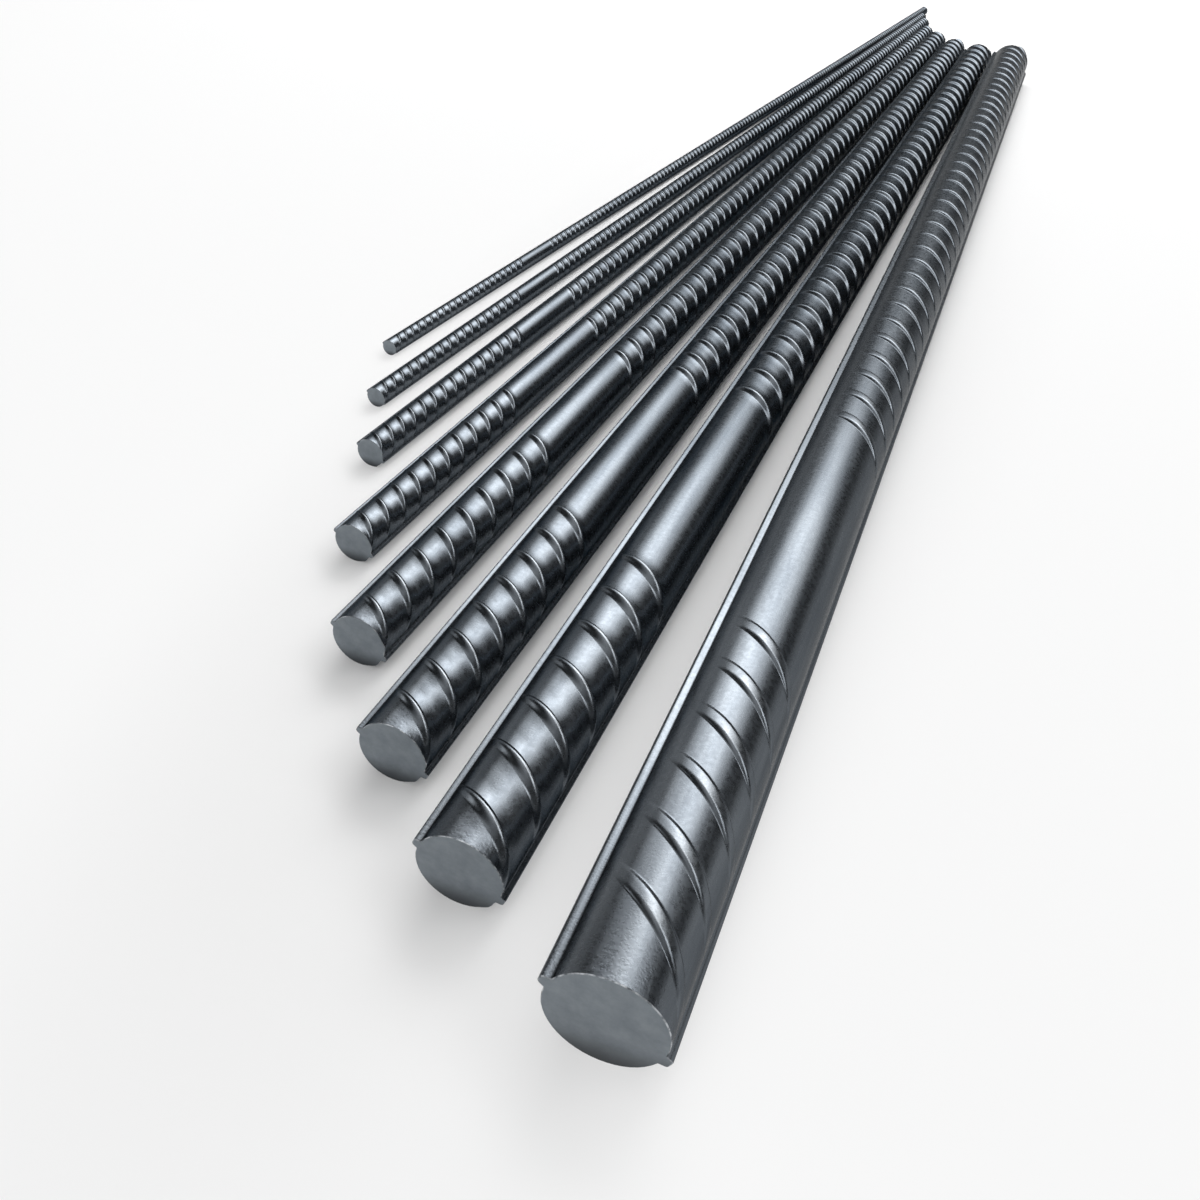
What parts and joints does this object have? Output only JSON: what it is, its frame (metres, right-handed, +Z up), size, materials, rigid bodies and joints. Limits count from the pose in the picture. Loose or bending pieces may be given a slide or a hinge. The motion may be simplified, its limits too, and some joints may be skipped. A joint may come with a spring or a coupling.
{
  "type": "rebar bundle",
  "caption": "Fan of loose ribbed steel reinforcing bars in graded thicknesses, sawn square at both ends and lying on a floor, used to strengthen concrete",
  "frame": {"origin": "On the floor, below the middle of the box round all the bars", "axes": "+Y along the thickest bar from its near end to its far end, +X to its right, away from the thinner bars, +Z up"},
  "size_m": [0.3166, 1.697, 0.0386],
  "materials": {
    "mill_scale_steel": "satin blue-grey mill scale"
  },
  "bodies": {
    "root": {"bar_40mm": "mill_scale_steel", "bar_32mm": "mill_scale_steel", "bar_28mm": "mill_scale_steel", "bar_25mm": "mill_scale_steel", "bar_20mm": "mill_scale_steel", "bar_16mm": "mill_scale_steel", "bar_12mm": "mill_scale_steel", "bar_10mm": "mill_scale_steel"}
  },
  "joints": []
}
